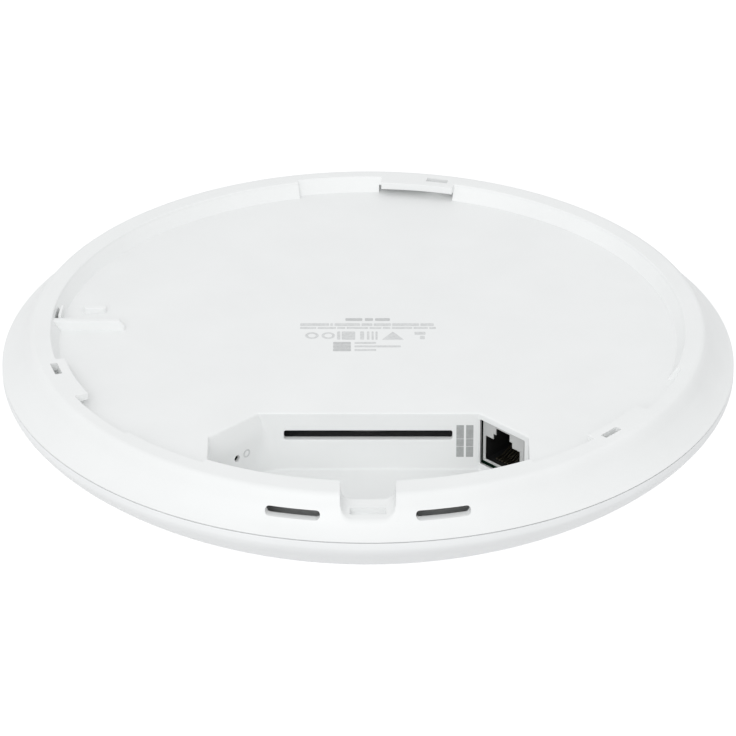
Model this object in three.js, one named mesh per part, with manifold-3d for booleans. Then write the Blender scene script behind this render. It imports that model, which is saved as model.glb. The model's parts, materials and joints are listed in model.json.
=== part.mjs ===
// Ceiling access point: rear housing with its port bay, domed front cover, and what they hold.
// Millimetres, +Z up. The mounting side faces up, and the dome faces down into the room.
// The origin is the centre of the rim's top face, the plane that meets the ceiling bracket.

import * as THREE from 'three';
import { mergeVertices } from 'three/addons/utils/BufferGeometryUtils.js';
import Module from 'manifold-3d';

const wasm = await Module();
wasm.setup();

// ---------------------------------------------------------------- driving dimensions

const gap = 0.3;                    // clearance left between neighbouring pieces
const roundSegments = 60;           // facets round the two shells
const wall = 1.8;                   // moulded wall thickness of the rear housing

const outerRadius = 103;            // at the seam between the two shells
const totalHeight = 46;
const seamZ = -10.1;
const recessFloorZ = -4.3;
const recessRadius = 89;
const recessWallLean = 2.2;         // the recess's wall slopes in by this much at its foot
const rimOuterRadius = 93.6;        // outer edge of the flat rim
const coverThickness = 2.4;
const coverEdgeHeight = 2.0;        // upright band of the cover below the seam

// bayonet mount: three tabs that overhang the recess, each beside an entry notch
const tabCount = 3;
const firstTabAngle = 80.4;         // degrees, counter-clockwise from +X
const tabHalfAngle = 7;
const entryAngle = 16;              // arc of each entry notch, beside its tab
const tabReach = 2.5;               // how far a tab overhangs the recess
const tabThickness = 2.2;
const entryRadius = 90.6;           // wall of an entry notch
const grooveRadius = 92.2;          // wall of the groove under a tab
const liningRadius = 94.9;          // outside of the thicker rim behind a notch or a groove

// port bay: the sunk pocket at the front edge of the recess
const bayBackY = -43.6;
const bayHalfWidth = 43.6;
const bayChamfer = 13;              // both back corners are cut at 45 degrees
const bayFrontRadius = 87.4;        // also the rim's inner edge along the bay
const bayFootRadius = 84.8;         // the front wall leans in to this at its foot
const bayFloorZ = -22.1;
const bayCornerDraft = 2.6;         // the switch corner leans into the bay by this much at its foot
const ventLeft = -23.1;
const ventRight = 23.2;
const ventZ = -11.35;
const ventHeight = 2.8;

// cable notch through the rim, and the two vents beside it
const notchWidth = 14.5;
const notchFloorZ = -6;
const notchCornerRadius = 3.2;
const notchHalfArc = 7;             // the rim is solid this far either side of the notch, in degrees
const sideVentAngle = 11.9;         // either side of the cable notch
const sideVentLength = 15;
const sideVentHeight = 2.2;
const sideVentZ = -5.3;

// circuit board and what stands on it
const boardTopZ = -20;
const boardThickness = 1.6;
const boardRadius = 80;
const groundPlateRadius = 79;
const groundPlateThickness = 1;
const bossPlaces = [[68, -30], [-68, -30], [50, 56], [-50, 56]];
const bossRadius = 3.5;
const screwHoleRadius = 1.5;
const shankRadius = 1.2;
const heatSinkLegPlaces = [[-50, 22], [50, 22], [0, 60]];

// Ethernet jack, standard eight-way size
const jackWidth = 15.6;
const jackHeight = 12.7;
const jackDepth = 21;
const jackOffset = -0.65;           // along its chamfer, from the chamfer's middle
const jackMouthZ = -18.15;          // lowest edge of the plug opening
const jackMouthOffset = -0.85;
const contactCount = 8;
const contactPitch = 1.02;

// blower behind the port bay
const fanX = 0;
const fanY = -16;
const fanRadius = 20;
const fanBladeCount = 11;
const fanTopZ = -8;
const fanHeight = 8.2;
const fanScrewPlaces = [[-30, 3], [30, 3], [-30, -34]];

const resetHoleRadius = 1;
const resetZ = -14.2;
const resetTravel = 0.4;

// snap hooks of the cover and the catches that hold them
const hookAngles = [0, 45, 135, 180, 240, 300];
const hookTopZ = -6.5;
const catchBottomZ = -9.6;

const lensRadius = 2.2;             // status light in the middle of the dome

// ---------------------------------------------------------------- derived values

const degrees = Math.PI / 180;
const innerFloorZ = recessFloorZ - wall;
const apexZ = -totalHeight;
const coverTopZ = seamZ - gap;
const boardBottomZ = boardTopZ - boardThickness;
const bayBottomZ = bayFloorZ - wall;
const groundPlateTopZ = bayBottomZ - 1.4;
const groundPlateBottomZ = groundPlateTopZ - groundPlateThickness;
const jackTopZ = innerFloorZ - gap;
const jackBottomZ = jackTopZ - jackHeight;
const chamferMiddleX = bayHalfWidth - bayChamfer / 2;
const chamferMiddleY = bayBackY - bayChamfer / 2;

// ---------------------------------------------------------------- solids and booleans

// Merges shared corners, drops empty triangles and turns the faces outwards.
function closedGeometry(source) {
  const stripped = source.clone();
  stripped.deleteAttribute('normal');
  stripped.deleteAttribute('uv');
  const merged = mergeVertices(stripped, 1e-4);
  const place = merged.attributes.position;
  const corners = merged.index.array;
  const kept = [];
  let volume = 0;
  const a = new THREE.Vector3();
  const b = new THREE.Vector3();
  const c = new THREE.Vector3();
  for (let i = 0; i < corners.length; i += 3) {
    const [p, q, r] = [corners[i], corners[i + 1], corners[i + 2]];
    if (p === q || q === r || r === p) continue;
    kept.push(p, q, r);
    a.fromBufferAttribute(place, p);
    b.fromBufferAttribute(place, q);
    c.fromBufferAttribute(place, r);
    volume += a.dot(b.cross(c));
  }
  if (volume < 0) kept.reverse();
  merged.setIndex(kept);
  return merged;
}

function solid(geometry) {
  const closed = closedGeometry(geometry);
  return new wasm.Manifold(new wasm.Mesh({
    numProp: 3,
    vertProperties: new Float32Array(closed.attributes.position.array),
    triVerts: new Uint32Array(closed.index.array),
  }));
}

function geometryOf(body) {
  const mesh = body.getMesh();
  const geometry = new THREE.BufferGeometry();
  geometry.setAttribute('position', new THREE.BufferAttribute(mesh.vertProperties, 3));
  geometry.setIndex(new THREE.BufferAttribute(mesh.triVerts, 1));
  return geometry;
}

function joined(first, ...others) {
  return others.reduce((sum, next) => sum.add(next), first);
}

function cut(first, ...others) {
  return others.reduce((rest, next) => rest.subtract(next), first);
}

// ---------------------------------------------------------------- shape helpers

function boxGeometry(x0, x1, y0, y1, z0, z1) {
  const box = new THREE.BoxGeometry(x1 - x0, y1 - y0, z1 - z0);
  return box.translate((x0 + x1) / 2, (y0 + y1) / 2, (z0 + z1) / 2);
}

function box(x0, x1, y0, y1, z0, z1) {
  return solid(boxGeometry(x0, x1, y0, y1, z0, z1));
}

function rodGeometry(radius, z0, z1, x = 0, y = 0, segments = 20) {
  const rod = new THREE.CylinderGeometry(radius, radius, z1 - z0, segments);
  return rod.rotateX(Math.PI / 2).translate(x, y, (z0 + z1) / 2);
}

function rod(radius, z0, z1, x = 0, y = 0, segments = 20) {
  return solid(rodGeometry(radius, z0, z1, x, y, segments));
}

// Turns a profile of [radius, z] points round the Z axis.
function turnedGeometry(profile, segments = roundSegments) {
  const points = profile.map(([radius, z]) => new THREE.Vector2(radius, z));
  return new THREE.LatheGeometry(points, segments).rotateX(Math.PI / 2);
}

function closedRing(profile) {
  return [...profile, profile[0]];
}

function outlineShape(points) {
  return new THREE.Shape(points.map(([x, y]) => new THREE.Vector2(x, y)));
}

function plateGeometry(shape, z0, z1, curveSegments = 12) {
  const options = { depth: z1 - z0, bevelEnabled: false, curveSegments };
  return new THREE.ExtrudeGeometry(shape, options).translate(0, 0, z0);
}

function plate(shape, z0, z1, curveSegments = 12) {
  return solid(plateGeometry(shape, z0, z1, curveSegments));
}

// Part of a flat ring between two angles in degrees.
function ringSector(innerRadius, outerRadiusHere, fromAngle, toAngle) {
  const steps = Math.max(2, Math.ceil((toAngle - fromAngle) / 2.5));
  const outline = [];
  for (let i = 0; i <= steps; i += 1) {
    const angle = (fromAngle + (toAngle - fromAngle) * i / steps) * degrees;
    outline.push([outerRadiusHere * Math.cos(angle), outerRadiusHere * Math.sin(angle)]);
  }
  for (let i = steps; i >= 0; i -= 1) {
    const angle = (fromAngle + (toAngle - fromAngle) * i / steps) * degrees;
    outline.push([innerRadius * Math.cos(angle), innerRadius * Math.sin(angle)]);
  }
  return outlineShape(outline);
}

// A slot with round ends, its length along X.
function slotShape(length, width) {
  const radius = width / 2;
  const reach = length / 2 - radius;
  const shape = new THREE.Shape();
  shape.absarc(reach, 0, radius, -Math.PI / 2, Math.PI / 2);
  shape.absarc(-reach, 0, radius, Math.PI / 2, Math.PI * 1.5);
  return shape;
}

// Moves every edge of a convex outline outwards by the same distance.
function offsetOutline(points, distance) {
  const count = points.length;
  const lines = points.map(([x0, y0], i) => {
    const [x1, y1] = points[(i + 1) % count];
    const length = Math.hypot(x1 - x0, y1 - y0);
    const normal = [(y1 - y0) / length, -(x1 - x0) / length];
    return { normal, reach: normal[0] * x0 + normal[1] * y0 + distance };
  });
  return points.map((point, i) => {
    const before = lines[(i + count - 1) % count];
    const after = lines[i];
    const cross = before.normal[0] * after.normal[1] - before.normal[1] * after.normal[0];
    return [
      (before.reach * after.normal[1] - after.reach * before.normal[1]) / cross,
      (before.normal[0] * after.reach - after.normal[0] * before.reach) / cross,
    ];
  });
}

// A straight-sided solid between two outlines with the same number of corners.
function loft(lowerOutline, lowerZ, upperOutline, upperZ) {
  const count = lowerOutline.length;
  const corners = [
    ...lowerOutline.flatMap(([x, y]) => [x, y, lowerZ]),
    ...upperOutline.flatMap(([x, y]) => [x, y, upperZ]),
  ];
  const lowerVectors = lowerOutline.map(([x, y]) => new THREE.Vector2(x, y));
  const faces = THREE.ShapeUtils.triangulateShape(lowerVectors, []);
  const index = [];
  for (const [a, b, c] of faces) {
    index.push(c, b, a);
    index.push(a + count, b + count, c + count);
  }
  for (let i = 0; i < count; i += 1) {
    const next = (i + 1) % count;
    index.push(i, next, next + count);
    index.push(i, next + count, i + count);
  }
  const geometry = new THREE.BufferGeometry();
  geometry.setAttribute('position', new THREE.Float32BufferAttribute(corners, 3));
  geometry.setIndex(index);
  return solid(geometry);
}

// ---------------------------------------------------------------- materials and meshes

const finishes = {
  whitePlastic: { color: 0xf2f3f3, roughness: 0.55, metalness: 0 },
  darkPlastic: { color: 0x161717, roughness: 0.5, metalness: 0 },
  clearPlastic: { color: 0xdfe9f2, roughness: 0.2, metalness: 0 },
  circuitBoard: { color: 0x1d5a3a, roughness: 0.45, metalness: 0 },
  chipResin: { color: 0x202224, roughness: 0.6, metalness: 0 },
  thermalRubber: { color: 0x9fb4c4, roughness: 0.85, metalness: 0 },
  aluminium: { color: 0xc3c6c8, roughness: 0.4, metalness: 1 },
  steel: { color: 0xb9bcbe, roughness: 0.35, metalness: 1 },
  brass: { color: 0xc9a95a, roughness: 0.3, metalness: 1 },
};

const accessPoint = new THREE.Group();

function piece(name, geometry, finish, parent = accessPoint) {
  const mesh = new THREE.Mesh(geometry, new THREE.MeshStandardMaterial(finishes[finish]));
  mesh.name = name;
  parent.add(mesh);
  return mesh;
}

// ---------------------------------------------------------------- rear housing

// Outside of the flank, from the flat rim down to the seam.
const flankProfile = [
  [rimOuterRadius, 0],
  [rimOuterRadius + 0.8, -0.25],
  [95.1, -0.9],
  [95.9, -2.2],
  [97.2, -4.6],
  [99.3, -7.2],
  [101.5, -9],
  [outerRadius, -9.9],
  [outerRadius, seamZ],
];

// Inside of the flank, from the seam back up to the underside of the rim.
const flankInnerProfile = [
  [100.2, seamZ],
  [99.2, -9.4],
  [97.4, -7.9],
  [95.4, -5.4],
  [94.1, -3],
  [93.6, -2.2],
];

const bayonetAngles = Array.from({ length: tabCount }, (unused, i) => firstTabAngle + i * 360 / tabCount);

// Outline of the port bay at one height, counter-clockwise from above.
function bayOutline(cornerLean, frontRadius) {
  const halfArc = Math.asin(bayHalfWidth / frontRadius);
  const arcSteps = 10;
  const outline = [
    [bayHalfWidth - bayChamfer, bayBackY],
    [-(bayHalfWidth - bayChamfer) + cornerLean, bayBackY],
    [-bayHalfWidth, bayBackY - bayChamfer - cornerLean],
  ];
  for (let i = 0; i <= arcSteps; i += 1) {
    const angle = -Math.PI / 2 - halfArc + 2 * halfArc * i / arcSteps;
    outline.push([frontRadius * Math.cos(angle), frontRadius * Math.sin(angle)]);
  }
  outline.push([bayHalfWidth, bayBackY - bayChamfer]);
  return outline;
}

// Turns a solid geometry made about the origin to one of the bay's chamfers.
// side is +1 for the jack's chamfer and -1 for the switch's; local +Y points out of the bay.
function atChamfer(geometry, side) {
  return geometry.rotateZ(-side * 45 * degrees).translate(side * chamferMiddleX, chamferMiddleY, 0);
}

function notchCutter() {
  const half = notchWidth / 2;
  const r = notchCornerRadius;
  const section = new THREE.Shape();
  section.moveTo(half, 1);
  section.lineTo(-half, 1);
  section.lineTo(-half, notchFloorZ + r);
  section.absarc(-half + r, notchFloorZ + r, r, Math.PI, Math.PI * 1.5, false);
  section.absarc(half - r, notchFloorZ + r, r, -Math.PI / 2, 0, false);
  const startRadius = bayFootRadius;
  const length = outerRadius + 2 - startRadius;
  const options = { depth: length, bevelEnabled: false, curveSegments: 5 };
  const channel = new THREE.ExtrudeGeometry(section, options);
  return solid(channel.rotateX(Math.PI / 2).translate(0, -startRadius, 0));
}

function sideVentCutter(side) {
  const depth = 9;
  const options = { depth, bevelEnabled: false, curveSegments: 5 };
  const slot = new THREE.ExtrudeGeometry(slotShape(sideVentLength, sideVentHeight), options);
  slot.rotateX(Math.PI / 2).translate(0, -(outerRadius - depth - 1), sideVentZ);
  return solid(slot.rotateZ(side * sideVentAngle * degrees));
}

function buildShell() {
  return solid(turnedGeometry([
    [0, recessFloorZ],
    [recessRadius - recessWallLean, recessFloorZ],
    [recessRadius, -0.35],
    [recessRadius + 0.35, 0],
    ...flankProfile,
    ...flankInnerProfile,
    [recessRadius + 2.2, -2.2],
    [recessRadius + 2.2, innerFloorZ],
    [0, innerFloorZ],
  ]));
}

// The rim is solid from the bay's front wall to the flank where the cable notch crosses it.
function buildNotchFill() {
  const flankSolid = solid(turnedGeometry(closedRing([
    [recessRadius + 0.5, 0],
    ...flankProfile,
    [recessRadius + 0.5, seamZ],
  ])));
  const fillBottomZ = notchFloorZ - 2.4;
  const [fromAngle, toAngle] = [-90 - notchHalfArc, -90 + notchHalfArc];
  const outer = plate(ringSector(recessRadius + 0.5, outerRadius, fromAngle, toAngle), fillBottomZ, 0);
  const inner = plate(ringSector(bayFootRadius + 1, recessRadius + 1, fromAngle, toAngle), fillBottomZ, -1);
  return joined(outer.intersect(flankSolid), inner);
}

function buildRearHousing() {

  let housing = buildShell();
  const addSector = (r0, r1, a0, a1, z0, z1) => {
    housing = housing.add(plate(ringSector(r0, r1, a0, a1), z0, z1));
  };
  const cutSector = (r0, r1, a0, a1, z0, z1) => {
    housing = housing.subtract(plate(ringSector(r0, r1, a0, a1), z0, z1));
  };

  for (const middle of bayonetAngles) {
    const tabStart = middle - tabHalfAngle;
    const tabEnd = middle + tabHalfAngle;
    const entryEnd = tabEnd + entryAngle;
    addSector(recessRadius + 0.5, liningRadius, tabStart - 1.5, entryEnd + 1.5, -6.8, -0.9);
    cutSector(recessRadius - 5, entryRadius, tabEnd, entryEnd, recessFloorZ, 1);
    addSector(recessRadius - tabReach, recessRadius + 1.5, tabStart, tabEnd, -tabThickness, 0);
    cutSector(recessRadius - 5, grooveRadius, tabStart, tabEnd + 0.5, recessFloorZ, -tabThickness);
    cutSector(recessRadius + 0.2, recessRadius + 2.2, tabStart + 1.5, tabStart + 5.5, -tabThickness - 1, 1);
  }

  // the rim's inner edge moves in along the bay
  const bayHalfArc = Math.asin(bayHalfWidth / bayFrontRadius) / degrees;
  addSector(bayFrontRadius, recessRadius + 0.5, -90 - bayHalfArc, -90 + bayHalfArc, recessFloorZ - 0.5, 0);

  const latchRecess = box(-4.9, 4.9, -95.2, -91.5, notchFloorZ - 1.6, notchFloorZ + 1);

  const mouth = bayOutline(0, bayFrontRadius);
  const foot = bayOutline(bayCornerDraft, bayFootRadius);
  const outsideTopZ = recessFloorZ - 0.5;
  const bayShell = loft(offsetOutline(foot, wall), bayBottomZ, offsetOutline(mouth, wall), outsideTopZ);
  const leanAbove = -bayCornerDraft * (1 - recessFloorZ) / (recessFloorZ - bayFloorZ);
  const bayHollow = loft(foot, bayFloorZ, bayOutline(leanAbove, bayFrontRadius), 1);
  housing = joined(housing, bayShell, buildNotchFill());
  housing = cut(housing, bayHollow, notchCutter(), latchRecess, sideVentCutter(1), sideVentCutter(-1));

  const [ventBottomZ, ventTopZ] = [ventZ - ventHeight / 2, ventZ + ventHeight / 2];
  const vent = box(ventLeft, ventRight, bayBackY - 1, bayBackY + wall + 1, ventBottomZ, ventTopZ);
  const windowLeft = jackOffset - jackWidth / 2 - 0.65;
  const windowRight = jackOffset + jackWidth / 2 + 0.75;
  const windowBottomZ = jackBottomZ - 1.1;
  const windowBox = boxGeometry(windowLeft, windowRight, -1, wall + 1, windowBottomZ, innerFloorZ - 0.2);
  const jackWindow = solid(atChamfer(windowBox, 1));
  const pinHole = new THREE.CylinderGeometry(resetHoleRadius, resetHoleRadius, 12, 12);
  pinHole.translate(0, 0, resetZ);
  housing = cut(housing, vent, jackWindow, solid(atChamfer(pinHole, -1)));

  // guide rib and stop beside the bracket's release
  const ribTopZ = -1.1;
  const rib = joined(
    box(-recessRadius - 0.8, -69.4, 3.3, 5.1, recessFloorZ - 0.5, ribTopZ),
    rod(0.9, recessFloorZ - 0.5, ribTopZ, -69.4, 4.2, 12),
  );
  const stop = plate(slotShape(6.6, 2.6), recessFloorZ - 0.5, recessFloorZ + 1.8, 4);
  housing = joined(housing, rib, stop.translate([-77.5, 14.7, 0]));

  // the detent is a thin leaf that stands in front of the rim's wall, with a slot behind it
  const leafInnerRadius = recessRadius - 2.2;
  const leafOuterRadius = recessRadius - 1.4;
  cutSector(leafOuterRadius, recessRadius - 0.4, 172.3, 176.3, innerFloorZ - 1, 1);
  addSector(leafInnerRadius, leafOuterRadius, 172.3, 176.3, recessFloorZ - 0.5, -0.5);

  for (const [x, y] of bossPlaces) {
    housing = housing.add(rod(bossRadius, boardTopZ + gap, innerFloorZ + 0.5, x, y, 16));
    housing = housing.subtract(rod(screwHoleRadius, boardTopZ, -11, x, y, 12));
  }
  for (const [x, y] of fanScrewPlaces) {
    housing = housing.add(rod(3, fanTopZ + gap, innerFloorZ + 0.5, x, y, 16));
    housing = housing.subtract(rod(1.3, fanTopZ, recessFloorZ - 1, x, y, 12));
  }

  // catches for the cover's hooks, inside the flank
  for (const angle of hookAngles) {
    const stem = boxGeometry(recessRadius + 0.5, recessRadius + 2.5, -5, 5, catchBottomZ, innerFloorZ + 0.5);
    const lug = boxGeometry(recessRadius + 1, recessRadius + 4.6, -5, 5, catchBottomZ, catchBottomZ + 1.4);
    housing = joined(housing, solid(stem.rotateZ(angle * degrees)), solid(lug.rotateZ(angle * degrees)));
  }
  return geometryOf(housing);
}

// ---------------------------------------------------------------- front cover

// Height of the dome's outside at a radius, flattest at the middle and upright at the edge.
function domeZ(radius, edgeRadius, edgeZ, lowestZ) {
  const rise = (1 - (radius / edgeRadius) ** 2) ** (1 / 1.45);
  return edgeZ + (lowestZ - edgeZ) * rise;
}

function domeProfile(startRadius, edgeRadius, edgeZ, lowestZ, steps) {
  const startTurn = Math.asin(startRadius / edgeRadius);
  return Array.from({ length: steps + 1 }, (unused, i) => {
    const turn = startTurn + (Math.PI / 2 - startTurn) * i / steps;
    const radius = edgeRadius * Math.sin(turn);
    return [radius, domeZ(Math.min(radius, edgeRadius), edgeRadius, edgeZ, lowestZ)];
  });
}

function buildFrontCover() {
  const holeRadius = lensRadius + gap;
  const edgeZ = seamZ - coverEdgeHeight;
  const outside = domeProfile(holeRadius, outerRadius, edgeZ, apexZ, 13);
  const inside = domeProfile(holeRadius, outerRadius - coverThickness, edgeZ, apexZ + coverThickness, 9);
  let cover = solid(turnedGeometry(closedRing([
    ...outside,
    [outerRadius, coverTopZ],
    [outerRadius - coverThickness, coverTopZ],
    ...inside.reverse(),
  ])));
  for (const angle of hookAngles) {
    const arm = boxGeometry(94.4, 95.6, -4, 4, -19.6, hookTopZ);
    const barb = boxGeometry(92.2, 94.8, -4, 4, hookTopZ - 1.4, hookTopZ);
    cover = joined(cover, solid(arm.rotateZ(angle * degrees)), solid(barb.rotateZ(angle * degrees)));
  }
  return geometryOf(cover);
}

piece('rear_housing', buildRearHousing(), 'whitePlastic');
piece('front_cover', buildFrontCover(), 'whitePlastic');

// ---------------------------------------------------------------- circuit board and its parts

function buildMainBoard() {
  const disc = rod(boardRadius, boardBottomZ, boardTopZ, 0, 0, 48);
  const bayClearance = offsetOutline(bayOutline(0, bayFrontRadius), wall + 0.8);
  const baySpace = plate(outlineShape(bayClearance), boardBottomZ - 1, boardTopZ + 1);
  const holes = [...bossPlaces, ...heatSinkLegPlaces].map(([x, y]) => (
    rod(screwHoleRadius, boardBottomZ - 1, boardTopZ + 1, x, y, 12)
  ));
  return geometryOf(cut(disc, baySpace, ...holes));
}

piece('main_board', buildMainBoard(), 'circuitBoard');

// Each radio or processor is a chip under a metal can, with a thermal pad up to the heat sink.
const canHeight = 2.6;
const canSheet = 0.4;
const chipHeight = 1.2;
const padHeight = 1;
const canTopZ = boardTopZ + gap + canHeight;
const padBottomZ = canTopZ + 0.1;
const heatSinkBottomZ = padBottomZ + padHeight + 0.1;

function addChip(name, x, y, width, depth, chipSize) {
  const z = boardTopZ + gap;
  const outer = box(x - width / 2, x + width / 2, y - depth / 2, y + depth / 2, z, canTopZ);
  const halfWidth = width / 2 - canSheet;
  const halfDepth = depth / 2 - canSheet;
  const inner = box(x - halfWidth, x + halfWidth, y - halfDepth, y + halfDepth, z - 1, canTopZ - canSheet);
  const half = chipSize / 2;
  piece(`${name}_chip`, boxGeometry(x - half, x + half, y - half, y + half, z, z + chipHeight), 'chipResin');
  piece(`${name}_shield`, geometryOf(cut(outer, inner)), 'steel');
  const pad = boxGeometry(x - half, x + half, y - half, y + half, padBottomZ, padBottomZ + padHeight);
  piece(`${name}_thermal_pad`, pad, 'thermalRubber');
}

addChip('processor', 0, 36, 28, 26, 17);
addChip('left_radio', -34, 38, 26, 24, 14);
addChip('right_radio', 34, 38, 26, 24, 14);

function buildHeatSink() {
  const radius = 69;
  const baseThickness = 2;
  const baseTopZ = heatSinkBottomZ + baseThickness;
  const frontY = 15;
  const finTopZ = -7.2;
  const finPitch = 7;
  const finThickness = 1.2;
  const finCount = 17;
  const disc = rod(radius, heatSinkBottomZ, baseTopZ, 0, 0, 40);
  let sink = cut(disc, box(-radius - 1, radius + 1, -radius - 1, frontY, heatSinkBottomZ - 1, baseTopZ + 1));
  for (let i = 0; i < finCount; i += 1) {
    const x = (i - (finCount - 1) / 2) * finPitch;
    const backY = Math.sqrt((radius - 2) ** 2 - (Math.abs(x) + finThickness) ** 2);
    const fin = box(x - finThickness / 2, x + finThickness / 2, frontY + 1, backY, baseTopZ - 0.5, finTopZ);
    sink = sink.add(fin);
  }
  for (const [x, y] of heatSinkLegPlaces) {
    sink = sink.add(rod(3, boardTopZ + gap, baseTopZ - 0.5, x, y, 12));
    sink = sink.subtract(rod(screwHoleRadius, boardTopZ, baseTopZ - 0.8, x, y, 12));
  }
  return geometryOf(sink);
}

piece('heat_sink', buildHeatSink(), 'aluminium');

// A pan-head screw with its head down, made about its own axis; z 0 is under the head.
function screwGeometry(headRadius, headHeight, shank, length) {
  return turnedGeometry([
    [0, -headHeight],
    [headRadius * 0.7, -headHeight],
    [headRadius, -headHeight * 0.45],
    [headRadius, 0],
    [shank, 0],
    [shank, length],
    [0, length],
  ], 12);
}

heatSinkLegPlaces.forEach(([x, y], i) => {
  const length = heatSinkBottomZ + 0.8 - boardBottomZ;
  const screw = piece(`heat_sink_screw_${i + 1}`, screwGeometry(2.6, 1.5, shankRadius, length), 'steel');
  screw.position.set(x, y, boardBottomZ - 0.1);
});

// Hexagonal standoffs clamp the board to the housing and carry the antenna ground plate.
const standoffLength = boardBottomZ - 0.1 - groundPlateTopZ - 0.1;

function buildStandoff() {
  const stud = 8.2;
  const body = joined(rod(3, -standoffLength, 0, 0, 0, 6), rod(shankRadius, -0.5, stud, 0, 0, 12));
  return geometryOf(cut(body, rod(screwHoleRadius - 0.3, -standoffLength - 1, -0.8, 0, 0, 12)));
}

bossPlaces.forEach(([x, y], i) => {
  const standoff = piece(`standoff_${i + 1}`, buildStandoff(), 'brass');
  standoff.position.set(x, y, boardBottomZ - 0.1);
  const screw = piece(`ground_plate_screw_${i + 1}`, screwGeometry(2.6, 1.5, 0.9, 2.6), 'steel');
  screw.position.set(x, y, groundPlateBottomZ - 0.1);
});

const lightPipeHoleRadius = 3.4;

function buildGroundPlate() {
  const disc = rod(groundPlateRadius, groundPlateBottomZ, groundPlateTopZ, 0, 0, 48);
  const holes = bossPlaces.map(([x, y]) => (
    rod(screwHoleRadius, groundPlateBottomZ - 1, groundPlateTopZ + 1, x, y, 12)
  ));
  const middle = rod(lightPipeHoleRadius, groundPlateBottomZ - 1, groundPlateTopZ + 1, 0, 0, 16);
  return geometryOf(cut(disc, middle, ...holes));
}

piece('antenna_ground_plate', buildGroundPlate(), 'aluminium');

// ---------------------------------------------------------------- antennas

// A bent-sheet antenna: a radiating top plate on a shorting leg and a feed leg with a foot.
function antennaGeometry(length, width, height) {
  const sheet = 0.6;
  const topPlate = box(-length / 2, length / 2, -width / 2, width / 2, -height, -height + sheet);
  const shortingLeg = box(-length / 2, -length / 2 + sheet, -width / 2, width / 2, -height, 0);
  const shortingFoot = box(-length / 2 - 3, -length / 2 + sheet, -width / 2, width / 2, -sheet, 0);
  const feedX = -length / 2 + length * 0.28;
  const feedLeg = box(feedX, feedX + 2, -width / 2, -width / 2 + sheet, -height, -0.2);
  const slot = box(feedX + 4, length / 2 - 2, -width / 6, width / 6, -height - 1, 0);
  return geometryOf(cut(joined(topPlate, shortingLeg, shortingFoot, feedLeg), slot));
}

const antennaRing = 52;
const antennaBands = [
  { name: 'low_band', length: 28, width: 9, height: 8, angles: [30, 210] },
  { name: 'mid_band', length: 17, width: 8, height: 6.5, angles: [90, 270] },
  { name: 'high_band', length: 13, width: 7, height: 5.5, angles: [150, 330] },
];

for (const { name, length, width, height, angles } of antennaBands) {
  angles.forEach((angle, i) => {
    const antenna = piece(`${name}_antenna_${i + 1}`, antennaGeometry(length, width, height), 'brass');
    antenna.rotation.z = (angle + 90) * degrees;
    antenna.position.set(
      antennaRing * Math.cos(angle * degrees),
      antennaRing * Math.sin(angle * degrees),
      groundPlateBottomZ - gap,
    );
  });
}

// ---------------------------------------------------------------- status light

const ledHeight = 0.8;
const ledBottomZ = boardBottomZ - 0.1 - ledHeight;
piece('status_led', boxGeometry(-1.6, 1.6, -1.6, 1.6, ledBottomZ, boardBottomZ - 0.1), 'clearPlastic');

const collarBottomZ = apexZ + coverThickness + gap;
piece('status_light_pipe', turnedGeometry([
  [0, apexZ + 0.1],
  [lensRadius * 0.8, apexZ + 0.1],
  [lensRadius, apexZ + 0.4],
  [lensRadius, collarBottomZ],
  [4.5, collarBottomZ],
  [4.5, collarBottomZ + 1.2],
  [lensRadius, collarBottomZ + 2],
  [lensRadius, ledBottomZ - gap],
  [0, ledBottomZ - gap],
], 20), 'clearPlastic');

// ---------------------------------------------------------------- Ethernet jack

// The jack is made with its mouth facing local -Y and turned to the right-hand chamfer.
const jackGroup = new THREE.Group();
jackGroup.position.set(chamferMiddleX, chamferMiddleY, 0);
jackGroup.rotation.z = -45 * degrees;
accessPoint.add(jackGroup);

const jackLeft = jackOffset - jackWidth / 2;
const jackRight = jackOffset + jackWidth / 2;
const jackFrontY = 0.5;
const jackBackY = jackFrontY + jackDepth;
const jackSheet = 0.4;
const jackCavityDepth = 14.5;

// Stepped plug opening: the plug's body, with two narrower steps above it for its latch.
function plugOpening(y0, y1) {
  const steps = [
    [6.4, jackMouthZ, jackMouthZ + 7.3],
    [3.5, jackMouthZ + 6, jackMouthZ + 8.95],
    [2.5, jackMouthZ + 8, jackMouthZ + 11.05],
  ];
  return joined(...steps.map(([half, z0, z1]) => (
    box(jackMouthOffset - half, jackMouthOffset + half, y0, y1, z0, z1)
  )));
}

function buildJackShield() {
  const outer = box(jackLeft, jackRight, jackFrontY, jackBackY, jackBottomZ, jackTopZ);
  const inner = box(
    jackLeft + jackSheet,
    jackRight - jackSheet,
    jackFrontY + jackSheet,
    jackBackY - jackSheet,
    jackBottomZ - 1,
    jackTopZ - jackSheet,
  );
  return geometryOf(cut(outer, inner, plugOpening(jackFrontY - 1, jackFrontY + 2)));
}

function buildJackBody() {
  const inset = jackSheet + gap / 2;
  const block = box(
    jackLeft + inset,
    jackRight - inset,
    jackFrontY + inset,
    jackBackY - inset,
    jackBottomZ,
    jackTopZ - inset,
  );
  const feet = [-1, 1].map((side) => (
    rod(1, boardTopZ + gap, jackBottomZ + 1, jackOffset + side * 5.7, jackFrontY + 9, 12)
  ));
  const hollow = plugOpening(jackFrontY - 1, jackFrontY + jackCavityDepth);
  return geometryOf(joined(cut(block, hollow), ...feet));
}

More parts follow.
